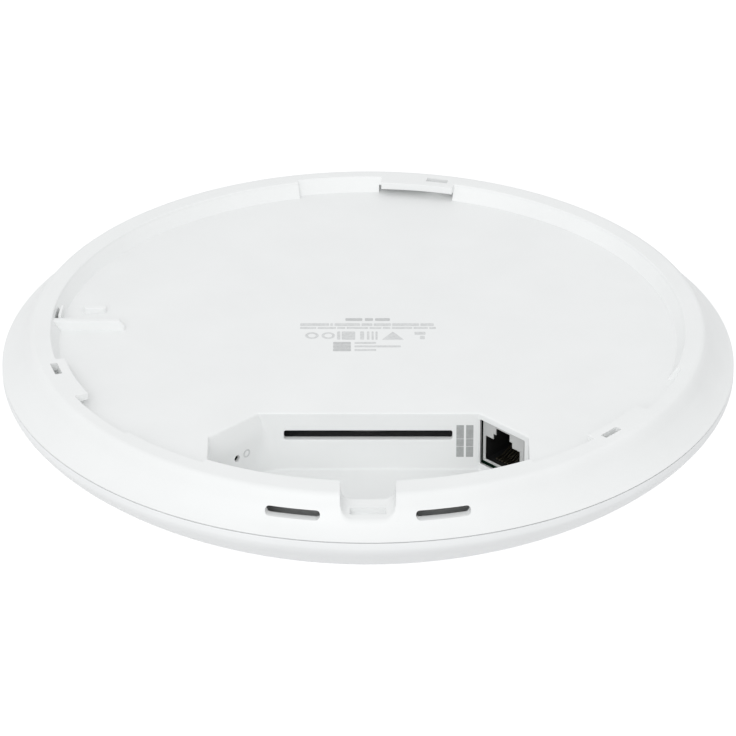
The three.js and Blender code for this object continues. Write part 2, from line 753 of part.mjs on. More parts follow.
// A spring contact: it runs back along the mouth's floor and slopes up into the plug's way.
function contactGeometry() {
  const sheet = 0.35;
  const line = [
    [2, jackMouthZ + 0.35],
    [4.2, jackMouthZ + 0.45],
    [11, jackMouthZ + 3.6],
    [13.6, jackMouthZ + 4.3],
  ];
  const outline = [...line, ...line.map(([y, z]) => [y, z + sheet]).reverse()];
  const strip = new THREE.ExtrudeGeometry(outlineShape(outline), { depth: 0.5, bevelEnabled: false });
  return strip.rotateX(Math.PI / 2).rotateZ(Math.PI / 2);
}

piece('jack_shield', buildJackShield(), 'steel', jackGroup);
piece('jack_body', buildJackBody(), 'darkPlastic', jackGroup);
for (let i = 0; i < contactCount; i += 1) {
  const contact = piece(`jack_contact_${i + 1}`, contactGeometry(), 'brass', jackGroup);
  contact.position.x = jackMouthOffset + (i - (contactCount - 1) / 2) * contactPitch - 0.25;
}

// ---------------------------------------------------------------- reset switch

// The switch is made with its plunger facing local -Y and turned to the left-hand chamfer.
const switchGroup = new THREE.Group();
switchGroup.position.set(-chamferMiddleX, chamferMiddleY, 0);
switchGroup.rotation.z = 45 * degrees;
accessPoint.add(switchGroup);

const plungerRadius = 1.4;
const plungerTipY = 4.6;
const switchFrontY = 6.6;
const plungerEndY = 8.6;

function rodAlongY(radius, y0, y1, z, segments = 16) {
  return new THREE.CylinderGeometry(radius, radius, y1 - y0, segments).translate(0, (y0 + y1) / 2, z);
}

const boreEndY = plungerEndY + resetTravel + gap;
const plungerBore = solid(rodAlongY(plungerRadius + gap, switchFrontY - 1, boreEndY, resetZ));
const switchBlock = box(-3.2, 3.2, switchFrontY, switchFrontY + 4.2, boardTopZ + gap, resetZ + 3);
piece('reset_switch_body', geometryOf(cut(switchBlock, plungerBore)), 'darkPlastic', switchGroup);
piece('reset_button', rodAlongY(plungerRadius, plungerTipY, plungerEndY, resetZ), 'darkPlastic', switchGroup);

// ---------------------------------------------------------------- blower

const fanGroup = new THREE.Group();
fanGroup.position.set(fanX, fanY, fanTopZ);
accessPoint.add(fanGroup);

// Local to the blower: z 0 is the top of its casing, and its outlet faces the port bay.
const fanPlate = 0.8;
const fanOutletY = bayBackY + wall + gap - fanY;
const fanBackY = 25;
const fanHalfWidth = 25.5;
const fanCavityRadius = 22;
const fanCavityBottomZ = -fanHeight + fanPlate + gap;
const bearingRadius = 2.6;
const shaftRadius = 1;
const rotorTopZ = -fanPlate - 0.6;
const rotorBottomZ = fanCavityBottomZ + 0.4;

function buildFanCasing() {
  const outer = box(-fanHalfWidth, fanHalfWidth, fanOutletY, fanBackY - 1.5, fanCavityBottomZ, 0);
  const duct = outlineShape([
    [-fanCavityRadius, 0],
    [-23.6, fanOutletY - 1],
    [23.6, fanOutletY - 1],
    [fanCavityRadius, 0],
  ]);
  const hollow = joined(
    rod(fanCavityRadius, -fanHeight, -fanPlate, 0, 0, 36),
    plate(duct, -fanHeight, -fanPlate),
  );
  let casing = cut(outer, hollow);
  for (const [x, y] of fanScrewPlaces) {
    const [earX, earY] = [x - fanX, y - fanY];
    const side = Math.sign(earX);
    const bridge = box(Math.min(earX, side * 24), Math.max(earX, side * 24), earY - 3.4, earY + 3.4, -1.4, 0);
    casing = joined(casing, rod(3.4, -1.4, 0, earX, earY, 16), bridge);
    casing = casing.subtract(rod(1.3, -2, 1, earX, earY, 12));
  }
  return geometryOf(cut(casing, rod(bearingRadius + 0.02, -2, 1, 0, 0, 20)));
}

function buildFanLid() {
  const lid = box(-fanHalfWidth, fanHalfWidth, fanOutletY, fanBackY - 1.5, -fanHeight, -fanHeight + fanPlate);
  return geometryOf(cut(lid, rod(13, -fanHeight - 1, 0, 0, 0, 32)));
}

function buildRotor() {
  const hubRadius = 9.5;
  const sheet = 0.9;
  const hub = cut(
    rod(hubRadius, rotorBottomZ, rotorTopZ, 0, 0, 24),
    rod(hubRadius - sheet, rotorBottomZ + sheet, 0, 0, 0, 24),
  );
  const sleeve = rod(2.2, rotorBottomZ, rotorBottomZ + 1.6, 0, 0, 16);
  const bladeRing = cut(
    rod(fanRadius, rotorBottomZ, rotorBottomZ + sheet, 0, 0, 36),
    rod(fanRadius - 3.4, rotorBottomZ - 1, 0, 0, 0, 36),
  );
  let rotor = joined(hub, sleeve, bladeRing);
  for (let i = 0; i < fanBladeCount; i += 1) {
    const blade = boxGeometry(hubRadius - 0.6, fanRadius - 0.3, -0.45, 0.45, rotorBottomZ, rotorTopZ);
    blade.translate(-hubRadius, 0, 0).rotateZ(-22 * degrees).translate(hubRadius, 0, 0);
    rotor = rotor.add(solid(blade.rotateZ(i * 360 / fanBladeCount * degrees)));
  }
  return geometryOf(cut(rotor, rod(shaftRadius + 0.02, rotorBottomZ - 1, 0, 0, 0, 24)));
}

function buildBearing() {
  const bush = rod(bearingRadius, rotorBottomZ + 2, 0, 0, 0, 20);
  return geometryOf(cut(bush, rod(shaftRadius + 0.05, rotorBottomZ, 1, 0, 0, 24)));
}

function buildStator() {
  const coils = rod(7.6, rotorBottomZ + 1.6, -fanPlate - gap, 0, 0, 24);
  return geometryOf(cut(coils, rod(bearingRadius + 0.2, rotorBottomZ, 0, 0, 0, 20)));
}

piece('fan_casing', buildFanCasing(), 'darkPlastic', fanGroup);
piece('fan_lid', buildFanLid(), 'darkPlastic', fanGroup);
piece('fan_rotor', buildRotor(), 'darkPlastic', fanGroup);
piece('fan_shaft', rodGeometry(shaftRadius, rotorBottomZ + 0.3, -0.2, 0, 0, 24), 'steel', fanGroup);
piece('fan_bearing', buildBearing(), 'brass', fanGroup);
piece('fan_stator', buildStator(), 'steel', fanGroup);

fanScrewPlaces.forEach(([x, y], i) => {
  const screw = piece(`fan_screw_${i + 1}`, screwGeometry(2.1, 1.3, 1, 3.4), 'steel');
  screw.position.set(x, y, fanTopZ - 1.5);
});

// ---------------------------------------------------------------- power and network parts

function addBoardBlock(name, x, y, width, depth, height) {
  const z = boardTopZ + gap;
  const block = boxGeometry(x - width / 2, x + width / 2, y - depth / 2, y + depth / 2, z, z + height);
  piece(name, block, 'chipResin');
}

addBoardBlock('network_transformer', 61, -10, 15, 15, 6);
addBoardBlock('power_transformer', -55, -8, 14, 12, 8);
[-8, 3].forEach((y, i) => {
  const capacitor = rodGeometry(4, boardTopZ + gap, boardTopZ + gap + 8.5, 43, y, 16);
  piece(`filter_capacitor_${i + 1}`, capacitor, 'aluminium');
});

export default accessPoint;
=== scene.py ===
"""Looks of a ceiling access point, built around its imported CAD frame.

Lengths named here are millimetres in the CAD frame: +Z out of the mounting side, the origin in the rim's
top plane, and -Y towards the cable notch. Meshes are scaled to metres as they are made.
"""

import json
import math

import bmesh
import bpy
import numpy as np
from mathutils import Matrix, Vector


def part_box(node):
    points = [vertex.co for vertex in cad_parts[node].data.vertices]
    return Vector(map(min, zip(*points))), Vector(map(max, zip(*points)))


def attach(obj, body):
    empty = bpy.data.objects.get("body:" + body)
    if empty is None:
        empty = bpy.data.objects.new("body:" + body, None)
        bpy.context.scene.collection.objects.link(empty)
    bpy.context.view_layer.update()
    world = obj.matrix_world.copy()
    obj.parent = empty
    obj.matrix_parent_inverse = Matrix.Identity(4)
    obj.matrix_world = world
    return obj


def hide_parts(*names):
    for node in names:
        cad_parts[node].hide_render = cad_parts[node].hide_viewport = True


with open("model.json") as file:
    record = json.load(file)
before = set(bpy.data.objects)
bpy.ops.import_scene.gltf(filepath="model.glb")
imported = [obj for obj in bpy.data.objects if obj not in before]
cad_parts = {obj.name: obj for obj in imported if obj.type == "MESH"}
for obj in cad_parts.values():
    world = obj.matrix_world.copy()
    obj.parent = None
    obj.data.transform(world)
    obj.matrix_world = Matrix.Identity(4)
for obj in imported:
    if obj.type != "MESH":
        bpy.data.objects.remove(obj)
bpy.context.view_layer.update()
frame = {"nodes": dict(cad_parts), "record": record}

MM = 0.001

# ---------------------------------------------------------------- sizes, from the frame and the design

housing_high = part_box("rear_housing")[1] / MM
cover_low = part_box("front_cover")[0] / MM

OUTER_RADIUS = housing_high.x
APEX_Z = cover_low.z
SEAM_Z = -10.1
COVER_TOP_Z = SEAM_Z - 0.25
RECESS_Z = -4.3
RECESS_RADIUS = 89.0
WALL_LEAN = 2.2  # the recess's wall slopes in by this much at its foot
RIM_RADIUS = 93.6
WALL = 1.8

TAB_ANGLES = [80.4 + 120 * i for i in range(3)]
TAB_HALF_ANGLE = 7.0
ENTRY_ANGLE = 16.0
TAB_REACH = 2.5
TAB_THICKNESS = 2.2
ENTRY_RADIUS = 90.6
GROOVE_RADIUS = 92.2
CUTTER_INNER_RADIUS = 84  # where the entry and groove cutters start, inside the recess
TOOL_HOLE_RADII = (89.2, 91.2)
TOOL_HOLE_ARC = (1.5, 5.5)  # degrees past the start of its tab
DETENT_ARC = (172.3, 176.3)
DETENT_LEAF = (RECESS_RADIUS - 2.2, RECESS_RADIUS - 1.4)
DETENT_SLOT = (RECESS_RADIUS - 1.4, RECESS_RADIUS - 0.4)

BAY_BACK_Y = -43.6
BAY_HALF_WIDTH = 43.6
BAY_CHAMFER = 13.0
BAY_FRONT_RADIUS = 87.4
BAY_FOOT_RADIUS = 84.8
BAY_FLOOR_Z = -22.1
BAY_CORNER_DRAFT = 2.6
BAY_DRAFT_DEPTH = 0.33  # the part of the depth in which the corner draft opens fully
BAY_SIDE_DRAFT = 1.6
BAY_LIP = 0.45  # rounding of the bay's mouth
BAY_FILLET = 0.5  # rounding at the bay's floor
VENT_LEFT, VENT_RIGHT = -23.1, 23.2
VENT_Z, VENT_HEIGHT = -11.35, 2.8
RESET_Z = -14.2
RING_OFFSET, RING_RISE = 3.6, 0.2  # of the printed ring from the reset hole

NOTCH_HALF_WIDTH = 7.25
NOTCH_FLOOR_Z = -6.0
NOTCH_CORNER = 3.2
NOTCH_BLEND = 1.1
LATCH_Y = -93.35
SIDE_VENT_ANGLE = 11.9
SIDE_VENT_LENGTH, SIDE_VENT_HEIGHT, SIDE_VENT_Z = 15.0, 2.2, -5.3

JACK_OFFSET = -0.65
JACK_HALF_WIDTH = 7.8
JACK_TOP_Z, JACK_BOTTOM_Z = -6.4, -19.1
JACK_MOUTH_Z, JACK_MOUTH_OFFSET = -18.15, -0.85
CHAMFER_X = BAY_HALF_WIDTH - BAY_CHAMFER / 2
CHAMFER_Y = BAY_BACK_Y - BAY_CHAMFER / 2

CATCH_ANGLES = (0, 45, 135, 180, 240, 300)
LENS_HOLE_RADIUS = 2.35

ROUND = 288  # facets round the shells

# ---------------------------------------------------------------- camera

CAMERA_ELEVATION = 29.02  # degrees, from the seam's centre
CAMERA_DISTANCE = 1.459  # metres, from the seam's centre
CAMERA_PITCH = 29.17
CAMERA_LENS = 253.0


def make_camera():
    data = bpy.data.cameras.new("camera")
    data.sensor_width = 36
    data.lens = CAMERA_LENS
    data.clip_start, data.clip_end = 0.05, 200
    camera = bpy.data.objects.new("camera", data)
    elevation = math.radians(CAMERA_ELEVATION)
    camera.location = (
        0,
        -CAMERA_DISTANCE * math.cos(elevation),
        CAMERA_DISTANCE * math.sin(elevation) + SEAM_Z * MM,
    )
    camera.rotation_euler = (math.radians(90 - CAMERA_PITCH), 0, 0)
    bpy.context.scene.collection.objects.link(camera)
    bpy.context.scene.camera = camera


make_camera()

# ---------------------------------------------------------------- materials


class Nodes:
    """A short way to write one material's node tree."""

    def __init__(self, name):
        self.material = bpy.data.materials.new(name)
        self.material.use_nodes = True
        self.tree = self.material.node_tree
        self.shader = self.tree.nodes["Principled BSDF"]
        self.place = self.add("ShaderNodeTexCoord").outputs["Object"]

    def add(self, kind):
        return self.tree.nodes.new(kind)

    def link(self, output, target):
        self.tree.links.new(output, target)

    def set(self, **values):
        """Sets shader inputs that are the same all over, by name: base_color for Base Color."""
        for key, value in values.items():
            self.shader.inputs[key.replace("_", " ").title()].default_value = value

    def stretched(self, scale):
        mapping = self.add("ShaderNodeMapping")
        mapping.inputs["Scale"].default_value = scale
        self.link(self.place, mapping.inputs["Vector"])
        return mapping.outputs["Vector"]

    def noise(self, scale, detail=3.0, roughness=0.5, vector=None):
        node = self.add("ShaderNodeTexNoise")
        node.inputs["Scale"].default_value = scale
        node.inputs["Detail"].default_value = detail
        node.inputs["Roughness"].default_value = roughness
        self.link(vector or self.place, node.inputs["Vector"])
        return node.outputs["Fac"]

    def ramp(self, value, stops):
        node = self.add("ShaderNodeValToRGB")
        elements = node.color_ramp.elements
        while len(elements) < len(stops):
            elements.new(0.5)
        for element, (position, colour) in zip(elements, stops):
            element.position = position
            element.color = (*colour, 1)
        self.link(value, node.inputs["Fac"])
        return node.outputs["Color"]

    def spread(self, value, low, high):
        node = self.add("ShaderNodeMapRange")
        node.inputs["To Min"].default_value = low
        node.inputs["To Max"].default_value = high
        self.link(value, node.inputs["Value"])
        return node.outputs["Result"]

    def colour(self, output):
        self.link(output, self.shader.inputs["Base Color"])

    def rough(self, output):
        self.link(output, self.shader.inputs["Roughness"])

    def bump(self, height, distance, strength=1.0):
        node = self.add("ShaderNodeBump")
        node.inputs["Strength"].default_value = strength
        node.inputs["Distance"].default_value = distance
        self.link(height, node.inputs["Height"])
        self.link(node.outputs["Normal"], self.shader.inputs["Normal"])


def shade(colour, amount):
    return tuple(min(1.0, max(0.0, channel * amount)) for channel in colour)


def moulded_plastic(name, colour, rough=(0.42, 0.52), grain=2600, depth=4e-6):
    """Plastic with a fine spark-eroded grain and slight cloudy unevenness in tone."""
    n = Nodes(name)
    cloud = n.noise(55, detail=4)
    n.colour(n.ramp(cloud, [(0.3, shade(colour, 0.985)), (0.7, shade(colour, 1.01))]))
    n.rough(n.spread(n.noise(240, detail=5), *rough))
    n.bump(n.noise(grain, detail=2, roughness=0.6), depth, 0.5)
    return n.material


def sheet_metal(name, colour, rough=(0.22, 0.4), along=(1, 1, 1), grain=900):
    """Rolled or brushed metal, its streaks drawn out by the stretch of the texture space."""
    n = Nodes(name)
    streaks = n.noise(grain, detail=6, roughness=0.65, vector=n.stretched(along))
    patches = n.noise(70, detail=3)
    n.set(metallic=1.0)
    n.colour(n.ramp(patches, [(0.25, shade(colour, 0.88)), (0.75, shade(colour, 1.06))]))
    n.rough(n.spread(streaks, *rough))
    n.bump(streaks, 6e-6, 0.35)
    return n.material


def circuit_board():
    """Dark green solder mask, paler and raised along a pattern of tracks."""
    n = Nodes("circuit_board_mask")
    bricks = n.add("ShaderNodeTexBrick")
    bricks.inputs["Color1"].default_value = (0.004, 0.028, 0.015, 1)
    bricks.inputs["Color2"].default_value = (0.005, 0.036, 0.019, 1)
    bricks.inputs["Mortar"].default_value = (0.01, 0.07, 0.036, 1)
    bricks.inputs["Scale"].default_value = 220
    bricks.inputs["Mortar Size"].default_value = 0.03
    bricks.inputs["Brick Width"].default_value = 1.7
    bricks.inputs["Row Height"].default_value = 0.35
    n.link(n.place, bricks.inputs["Vector"])
    n.colour(bricks.outputs["Color"])
    n.rough(n.spread(n.noise(500), 0.28, 0.42))
    n.bump(bricks.outputs["Fac"], 1.5e-5, 0.4)
    n.set(coat_weight=0.25, coat_roughness=0.2)
    return n.material


def silicone_pad():
    """Soft blue-grey silicone with a mottled, matt face."""
    n = Nodes("thermal_pad")
    mottling = n.noise(1800, detail=2)
    n.colour(n.ramp(mottling, [(0.35, (0.30, 0.38, 0.46)), (0.65, (0.40, 0.49, 0.58))]))
    n.rough(n.spread(n.noise(900), 0.72, 0.88))
    n.bump(n.noise(2400), 2e-5, 0.5)
    return n.material


def light_guide():
    """Clear plastic, slightly cloudy."""
    n = Nodes("light_guide")
    n.set(transmission_weight=0.7)
    n.colour(n.ramp(n.noise(600), [(0.3, (0.86, 0.9, 0.94)), (0.7, (0.93, 0.96, 0.99))]))
    n.rough(n.spread(n.noise(1200), 0.18, 0.34))
    return n.material


def printed_ink(name, colour):
    """Pad-printed ink: slightly uneven cover."""
    n = Nodes(name)
    cover = n.noise(1500, detail=4)
    n.colour(n.ramp(cover, [(0.35, shade(colour, 0.93)), (0.65, shade(colour, 1.07))]))
    n.rough(n.spread(n.noise(800), 0.5, 0.62))
    return n.material


HOUSING = moulded_plastic("housing_plastic", (0.855, 0.865, 0.862))
COVER = moulded_plastic(
    "cover_plastic", (0.855, 0.865, 0.868), rough=(0.34, 0.42), grain=3400, depth=2e-6
)
BLACK = moulded_plastic("black_plastic", (0.012, 0.0125, 0.0125), rough=(0.38, 0.5))
CHARCOAL = moulded_plastic("charcoal_plastic", (0.15, 0.153, 0.155), rough=(0.45, 0.6))
RESIN = moulded_plastic(
    "chip_resin", (0.018, 0.019, 0.021), rough=(0.5, 0.62), grain=4200, depth=8e-6
)
BOARD = circuit_board()
PAD = silicone_pad()
GUIDE = light_guide()
ALUMINIUM = sheet_metal("milled_aluminium", (0.72, 0.73, 0.74), along=(1, 12, 1))
STEEL = sheet_metal("tinned_steel", (0.66, 0.66, 0.655), rough=(0.25, 0.38), along=(1, 1, 6))
BRASS = sheet_metal("turned_brass", (0.74, 0.56, 0.27), rough=(0.2, 0.3))
# The contacts' gold is dimmed and greyed to the dark grey they show in the shade inside the jack: painted
# shade, not the metal's own colour.
SHADE_DIMMED_GOLD = sheet_metal("contact_gold_painted_shade", (0.34, 0.3, 0.22), rough=(0.3, 0.42))
BRONZE = sheet_metal("antenna_bronze", (0.72, 0.6, 0.42), rough=(0.24, 0.36), along=(8, 1, 1))
INK = printed_ink("grey_ink", (0.56, 0.57, 0.57))
PALE_INK = printed_ink("pale_ink", (0.66, 0.67, 0.67))
LABEL_INK = printed_ink("label_ink", (0.4, 0.41, 0.41))

# ---------------------------------------------------------------- mesh helpers


def arc(cx, cy, radius, a0, a1, steps):
    """Points on an arc, angles in degrees."""
    angles = [math.radians(a0 + (a1 - a0) * i / steps) for i in range(steps + 1)]
    return [(cx + radius * math.cos(a), cy + radius * math.sin(a)) for a in angles]


def circle(cx, cy, radius, points):
    return arc(cx, cy, radius, 0, 360 - 360 / points, points - 1)


def link_mesh(name, bm, material):
    """Makes an object of a mesh drawn in millimetres."""
    mesh = bpy.data.meshes.new(name)
    bmesh.ops.scale(bm, vec=(MM,) * 3, verts=bm.verts)
    bmesh.ops.recalc_face_normals(bm, faces=bm.faces)
    bm.to_mesh(mesh)
    bm.free()
    piece = bpy.data.objects.new(name, mesh)
    bpy.context.scene.collection.objects.link(piece)
    if material:
        mesh.materials.append(material)
    return piece


def turned(name, profile, material=None, segments=ROUND):
    """A closed profile of (radius, z) points turned round the Z axis."""
    bm = bmesh.new()
    rings = []
    for radius, z in profile:
        if radius < 1e-6:
            rings.append([bm.verts.new((0, 0, z))])
            continue
        angles = (2 * math.pi * i / segments for i in range(segments))
        rings.append([bm.verts.new((radius * math.cos(a), radius * math.sin(a), z)) for a in angles])
    pairs = list(zip(rings, rings[1:]))
    if len(rings[0]) > 1:
        pairs.append((rings[-1], rings[0]))
    for one, two in pairs:
        for i in range(segments):
            j = (i + 1) % segments
            corners = [one[i % len(one)], one[j % len(one)], two[j % len(two)], two[i % len(two)]]
            distinct = list(dict.fromkeys(corners))
            if len(distinct) > 2:
                bm.faces.new(distinct)
    return link_mesh(name, bm, material)


def stacked(name, outlines, material=None):
    """A closed solid through a stack of outlines, each with the same number of (x, y, z) points."""
    bm = bmesh.new()
    rings = [[bm.verts.new(point) for point in outline] for outline in outlines]
    for one, two in zip(rings, rings[1:]):
        for i in range(len(one)):
            j = (i + 1) % len(one)
            bm.faces.new((one[i], one[j], two[j], two[i]))
    bm.faces.new(rings[0][::-1])
    bm.faces.new(rings[-1])
    return link_mesh(name, bm, material)


def prism(name, outline, z0, z1, material=None):
    return stacked(name, [[(x, y, z) for x, y in outline] for z in (z0, z1)], material)


def block(name, x0, x1, y0, y1, z0, z1, material=None):
    return prism(name, [(x0, y0), (x1, y0), (x1, y1), (x0, y1)], z0, z1, material)


def sector(name, r0, r1, a0, a1, z0, z1):
    """A ring's part between two radii, two angles in degrees and two heights."""
    steps = max(4, int((a1 - a0) / 1.25))
    outline = arc(0, 0, r1, a0, a1, steps) + arc(0, 0, r0, a0, a1, steps)[::-1]
    return prism(name, outline, z0, z1)


def slot_outline(length, width):
    reach = (length - width) / 2
    return arc(reach, 0, width / 2, -90, 90, 10) + arc(-reach, 0, width / 2, 90, 270, 10)


def rounded_box_outline(half_x, half_y, radius, steps=5):
    x, y = half_x - radius, half_y - radius
    corners = [(x, y, 0), (-x, y, 90), (-x, -y, 180), (x, -y, 270)]
    return [p for cx, cy, a in corners for p in arc(cx, cy, radius, a, a + 90, steps)]


def boolean(target, tools, operation):
    """Joins or cuts target with each tool, and deletes the tools."""
    for tool in tools:
        modifier = target.modifiers.new(operation, "BOOLEAN")
        modifier.operation = operation
        modifier.solver = "EXACT"
        modifier.object = tool
    apply_modifiers(target)
    for tool in tools:
        bpy.data.objects.remove(tool)
    return target


def turn(piece, degrees):
    piece.data.transform(Matrix.Rotation(math.radians(degrees), 4, "Z"))
    return piece


def to_chamfer(piece, side):
    """Moves a piece made about the origin, its local +Y out of the bay, to a chamfer of the port bay."""
    place = Matrix.Translation((side * CHAMFER_X * MM, CHAMFER_Y * MM, 0))
    piece.data.transform(place @ Matrix.Rotation(math.radians(-45 * side), 4, "Z"))
    return piece


def smooth(piece, angle=28):
    mesh = piece.data
    mesh.polygons.foreach_set("use_smooth", [True] * len(mesh.polygons))
    mesh.set_sharp_from_angle(angle=math.radians(angle))
    return piece


def apply_modifiers(piece):
    bpy.context.view_layer.update()
    graph = bpy.context.evaluated_depsgraph_get()
    mesh = bpy.data.meshes.new_from_object(piece.evaluated_get(graph))
    piece.modifiers.clear()
    old = piece.data
    piece.data = mesh
    bpy.data.meshes.remove(old)
    return piece


def soften(piece, width, segments=2, angle=30):
    """Rounds a simple piece's edges."""
    bevel = piece.modifiers.new("edges", "BEVEL")
    bevel.width = width * MM
    bevel.segments = segments
    bevel.limit_method = "ANGLE"
    bevel.angle_limit = math.radians(angle)
    return apply_modifiers(piece)


def flatten_shading(piece):
    """Lets large faces set the normals they share with the narrow faces of a rounded edge."""
    weighted = piece.modifiers.new("normals", "WEIGHTED_NORMAL")
    weighted.weight = 100
    weighted.keep_sharp = True
    return apply_modifiers(piece)


def clean(piece):
    """Welds the slivers that a cut leaves behind."""
    bm = bmesh.new()
    bm.from_mesh(piece.data)
    bmesh.ops.remove_doubles(bm, verts=bm.verts, dist=2e-6)
    bmesh.ops.dissolve_degenerate(bm, edges=bm.edges, dist=2e-6)
    bm.to_mesh(piece.data)
    bm.free()
    return piece


def spline(points, steps):
    """A smooth curve through (radius, z) points, as Catmull-Rom spans."""
    p = [np.array(q, float) for q in [points[0], *points, points[-1]]]
    curve = []
    for a, b, c, d in zip(p, p[1:], p[2:], p[3:]):
        for i in range(steps):
            t = i / steps
            square = (2 * a - 5 * b + 4 * c - d) * t**2
            cube = (3 * b - a - 3 * c + d) * t**3
            curve.append(0.5 * (2 * b + (c - a) * t + square + cube))
    return [tuple(q) for q in curve] + [tuple(points[-1])]


# ---------------------------------------------------------------- rear housing

FLANK = spline([
    (RIM_RADIUS, 0.0),
    (RIM_RADIUS + 0.8, -0.25),
    (95.1, -0.9),
    (95.9, -2.2),
    (97.2, -4.6),
    (99.3, -7.2),
    (101.5, -9.0),
    (OUTER_RADIUS - 0.25, -9.72),
], 5)


def flank_z(radius):
    """Height of the flank's outside at a radius."""
    radii = [r for r, z in FLANK]
    return np.interp(radius, radii, [z for r, z in FLANK])


def bay_outline(z):
    """The port bay's wall at a height. Corners are crisp at the mouth; the switch corner opens into a wide
    blend lower down, the mouth has a rounded lip and the floor a small fillet."""
    depth = (RECESS_Z - z) / (RECESS_Z - BAY_FLOOR_Z)
    lean = BAY_CORNER_DRAFT * min(1.0, max(0.0, depth) / BAY_DRAFT_DEPTH) ** 0.8
    rise = max(0.0, z - (RECESS_Z - BAY_LIP))
    grow = BAY_LIP - math.sqrt(max(0.0, BAY_LIP**2 - min(rise, BAY_LIP) ** 2))
    sink = max(0.0, (BAY_FLOOR_Z + BAY_FILLET) - z)
    shrink = BAY_FILLET - math.sqrt(max(0.0, BAY_FILLET**2 - min(sink, BAY_FILLET) ** 2))
    grow -= shrink
    half, back = BAY_HALF_WIDTH + grow, BAY_BACK_Y + grow
    left = half - 0.25 - BAY_SIDE_DRAFT * max(0.0, depth)
    cut = BAY_CHAMFER - 0.2 * grow
    front_draft = (BAY_FRONT_RADIUS - BAY_FOOT_RADIUS) * max(0.0, depth)
    front = BAY_FRONT_RADIUS - 0.05 - front_draft - shrink
    corners = [
        ((half - cut, back), 0.5),
        ((-half + cut + lean, back), 0.6 + 20 * max(0.0, depth - 0.15)),
        ((-left, back - cut - lean + half - left), 0.8),
        ((-left, -math.sqrt(front**2 - left**2)), 0),
        ((half, -math.sqrt(front**2 - half**2)), 0),
        ((half, back - cut), 0.8),
    ]
    left_reach, right_reach = (math.degrees(math.asin(side / front)) for side in (left, half))
    outline = []
    for i, (corner, radius) in enumerate(corners):
        if radius:
            before, after = corners[i - 1][0], corners[(i + 1) % len(corners)][0]
            outline += corner_arc(before, corner, after, radius, 8)
        elif corner[0] < 0:
            outline += arc(0, 0, front, 270 - left_reach, 270 + right_reach, 40)
    return [(x, y, z) for x, y in outline]


def corner_arc(before, corner, after, radius, steps):
    """Points that round one corner of an outline."""
    c = Vector(corner)
    one, two = (Vector(before) - c).normalized(), (Vector(after) - c).normalized()
    half_angle = one.angle(two) / 2
    reach = min(radius / math.tan(half_angle), 9.0)
    radius = reach * math.tan(half_angle)
    middle = c + (one + two).normalized() * (radius / math.sin(half_angle))
    start, end = c + one * reach - middle, c + two * reach - middle
    sweep = start.angle_signed(end)
    points = []
    for i in range(steps + 1):
        swung = start.copy()
        swung.rotate(Matrix.Rotation(-sweep * i / steps, 2))
        points.append(tuple(middle + swung))
    return points


def bay_cutter():
    lip = [RECESS_Z + 0.6, RECESS_Z + 0.02]
    lip += [RECESS_Z - BAY_LIP * t for t in (0.1, 0.3, 0.55, 0.8, 1)]
    walls = list(np.linspace(RECESS_Z - 1, BAY_FLOOR_Z + 0.6, 13))
    foot = [BAY_FLOOR_Z + BAY_FILLET * t for t in (0.75, 0.5, 0.3, 0.12, 0.03, 0)]
    return stacked("bay_cutter", [bay_outline(z) for z in lip + walls + foot])


def notch_cutter():
    """The cable notch, its edge blended into the rim and flank by a soft minimum of the two heights."""
    half_span, top, wall_slope = 13, 3.0, 30
    xs = np.linspace(-half_span, half_span, 105)
    ys = np.linspace(-(OUTER_RADIUS + 1), -BAY_FOOT_RADIUS, 64)
    x, y = np.meshgrid(xs, ys)
    radius = np.hypot(x, y)
    outside = flank_z(radius)
    outside = np.where(radius < RIM_RADIUS, 0.0, outside)
    side = np.abs(x) - (NOTCH_HALF_WIDTH - NOTCH_CORNER)
    corner_end = NOTCH_CORNER * 0.9999
    curve = np.clip(side, 0, corner_end)
    notch = NOTCH_FLOOR_Z + NOTCH_CORNER - np.sqrt(NOTCH_CORNER**2 - curve**2)
    notch = np.where(side > corner_end, notch + (side - NOTCH_CORNER) * wall_slope, notch)
    gap = np.clip((notch - outside) / NOTCH_BLEND, -1, 1)
    height = np.minimum(notch, outside + 0.03) - NOTCH_BLEND * (1 - np.abs(gap)) ** 2 * 0.25
    bm = bmesh.new()
    low = [[bm.verts.new((a, b, c)) for a, b, c in zip(*row)] for row in zip(x, y, height)]
    high = [[bm.verts.new((a, b, top)) for a, b in zip(*row)] for row in zip(x, y)]
    rows, columns = x.shape
    for i in range(rows - 1):
        for j in range(columns - 1):
            bm.faces.new((low[i][j], low[i][j + 1], low[i + 1][j + 1], low[i + 1][j]))
            bm.faces.new((high[i][j], high[i + 1][j], high[i + 1][j + 1], high[i][j + 1]))
    edge = [(i, 0) for i in range(rows)]
    edge += [(rows - 1, j) for j in range(1, columns)]
    edge += [(i, columns - 1) for i in range(rows - 2, -1, -1)]
    edge += [(0, j) for j in range(columns - 2, 0, -1)]
    for (i, j), (k, m) in zip(edge, edge[1:] + edge[:1]):
        bm.faces.new((low[i][j], low[k][m], high[k][m], high[i][j]))
    return link_mesh("notch_cutter", bm, None)


def side_vent_cutter(side):
    """A slot through the flank, on one side of the notch."""
    outside_y, inside_y = -104, -95
    outline = slot_outline(SIDE_VENT_LENGTH, SIDE_VENT_HEIGHT)
    rings = [[(x, y, SIDE_VENT_Z + z) for x, z in outline] for y in (outside_y, inside_y)]
    return turn(stacked("vent_cutter", rings), side * SIDE_VENT_ANGLE)


def pin_hole_cutter():
    """The reset hole, wider behind a thin lip."""
    rings = []
    for y, radius in ((-4, 1.0), (-0.9, 1.0), (-0.6, 2.0), (WALL + 2, 2.0)):
        rings.append([(x, y, RESET_Z + z) for x, z in circle(0, 0, radius, 32)])
    return stacked("pin_hole", rings)


